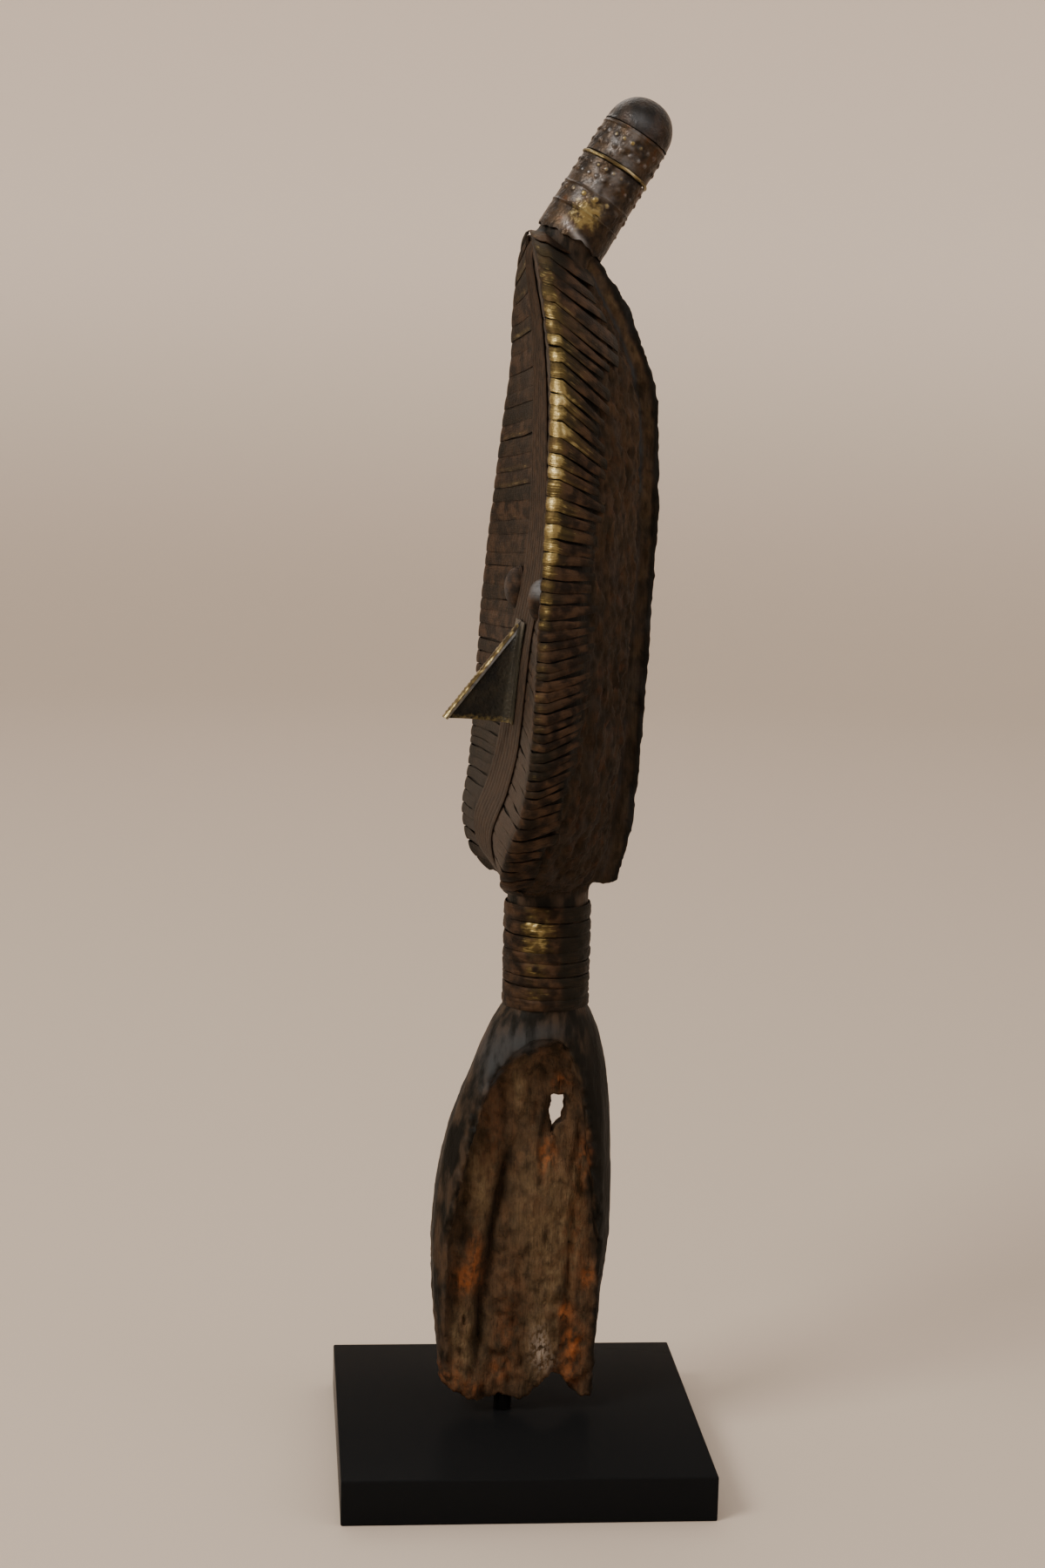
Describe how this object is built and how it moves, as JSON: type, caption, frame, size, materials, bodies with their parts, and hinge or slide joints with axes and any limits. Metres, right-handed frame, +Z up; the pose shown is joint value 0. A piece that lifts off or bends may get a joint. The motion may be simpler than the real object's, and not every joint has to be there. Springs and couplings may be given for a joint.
{
  "type": "reliquary guardian figure",
  "caption": "Mounted guardian figure: leaf-shaped brass-clad face with blade nose, leaning chignon, banded neck and eroded wooden foot on a black plinth.",
  "frame": {"origin": "centre of the plinth's underside", "axes": "+Z up, the face looks along -Y, +X is the figure's left-hand side"},
  "size_m": [0.1638, 0.16, 0.595],
  "materials": {
    "lacquer": "satin black lacquer, faintly scratched",
    "steel": "blackened steel",
    "wood": "dark patinated wood, worn and dusty in its recesses",
    "strips": "aged brass strips, tarnished with rubbed crests",
    "sheet": "dark tarnished brass sheet",
    "bright": "rubbed bright brass"
  },
  "bodies": {
    "root": {"plinth": "lacquer", "mount_pin": "steel", "wood_figure": "wood", "centre_band": "strips", "face_strips_left": "strips", "face_strips_right": "strips", "nose": "sheet", "nose_lip": "bright", "eye_left": "strips", "eye_right": "strips", "chignon_collar": "sheet", "chignon_band_lower": "sheet", "chignon_band_upper": "sheet", "chignon_wire": "bright", "chignon_cap": "sheet", "neck_band_1": "strips", "neck_band_2": "strips", "neck_band_3": "strips", "neck_band_4": "strips", "neck_band_5": "strips", "neck_band_6": "strips", "neck_band_7": "strips", "neck_band_8": "strips"}
  },
  "joints": []
}
